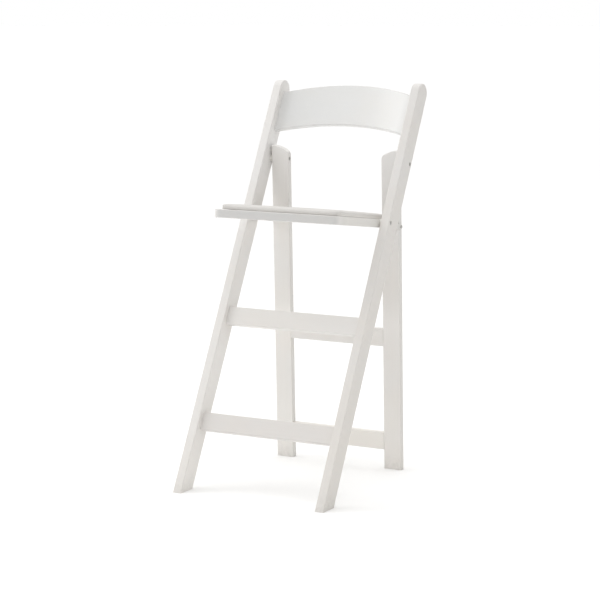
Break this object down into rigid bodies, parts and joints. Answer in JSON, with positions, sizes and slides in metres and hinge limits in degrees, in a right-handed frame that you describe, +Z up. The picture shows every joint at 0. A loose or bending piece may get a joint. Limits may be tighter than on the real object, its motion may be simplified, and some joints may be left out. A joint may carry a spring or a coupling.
{
  "type": "folding bar stool",
  "caption": "Tall folding stool in white painted wood: slanted front posts with a curved backrest, upright rear legs, footrest rails and a padded seat that folds up between the posts.",
  "frame": {"origin": "on the floor, under the middle of the open stool's box", "axes": "+Z up, the front of the stool faces -Y, +X to the right as seen from the front"},
  "size_m": [0.454, 0.6222, 1.07],
  "materials": {
    "painted_wood": "satin white paint over hardwood, grain faintly telegraphing, edges rounded",
    "painted_plywood": "thin white paint on plywood",
    "bare_plywood": "unfinished plywood",
    "bare_beech": "unfinished dowel",
    "white_vinyl": "soft white vinyl with fine grain",
    "foam": "open cell foam",
    "zinc_steel": "dull zinc plate",
    "painted_steel": "satin white paint on flat steel",
    "nylon": "natural nylon"
  },
  "bodies": {
    "front_frame": {"left_post": "painted_wood", "right_post": "painted_wood", "backrest": "painted_wood", "front_upper_stretcher": "painted_wood", "front_lower_stretcher": "painted_wood", "front_frame_dowels": "bare_beech", "seat_stop_pins": "zinc_steel", "leg_pivot_bolts": "zinc_steel", "leg_pivot_nuts": "zinc_steel", "leg_pivot_spacers": "nylon", "seat_pivot_bolts": "zinc_steel", "seat_pivot_nuts": "zinc_steel", "seat_pivot_spacers": "nylon"},
    "rear_frame": {"left_rear_leg": "painted_wood", "right_rear_leg": "painted_wood", "rear_upper_stretcher": "painted_wood", "rear_lower_stretcher": "painted_wood", "rear_frame_dowels": "bare_beech", "link_leg_screws": "zinc_steel", "link_washers": "nylon"},
    "seat": {"seat_left_rail": "painted_wood", "seat_right_rail": "painted_wood", "seat_front_rail": "painted_wood", "seat_rear_rail": "painted_wood", "seat_frame_dowels": "bare_beech", "seat_board": "painted_plywood", "seat_board_screws": "zinc_steel", "cushion_base": "bare_plywood", "cushion_foam": "foam", "cushion_cover": "white_vinyl", "cushion_screws": "zinc_steel", "link_seat_inserts": "zinc_steel"},
    "left_link": {"left_link": "painted_steel", "left_link_stud": "zinc_steel"},
    "right_link": {"right_link": "painted_steel", "right_link_stud": "zinc_steel"}
  },
  "joints": [
    {"name": "leg_fold", "type": "hinge", "parent": "front_frame", "child": "rear_frame", "pos_m": [0, 0.1878, 0.85647], "axis": [-1, 0, 0], "range_deg": [0, 29.64]},
    {"name": "seat_fold", "type": "hinge", "parent": "front_frame", "child": "seat", "pos_m": [0, 0.07211, 0.7089], "axis": [-1, 0, 0], "range_deg": [0, 110.07]},
    {"name": "left_link_turn", "type": "hinge", "parent": "rear_frame", "child": "left_link", "pos_m": [0, 0.1938, 0.68387], "axis": [1, 0, 0], "range_deg": [0, 65.74]},
    {"name": "right_link_turn", "type": "hinge", "parent": "rear_frame", "child": "right_link", "pos_m": [0, 0.1938, 0.68387], "axis": [1, 0, 0], "range_deg": [0, 65.74]}
  ],
  "couplings": [
    {"joint": "seat_fold", "follows": "leg_fold", "ratio": 3.7136},
    {"joint": "left_link_turn", "follows": "leg_fold", "ratio": 2.2179},
    {"joint": "right_link_turn", "follows": "leg_fold", "ratio": 2.2179}
  ]
}
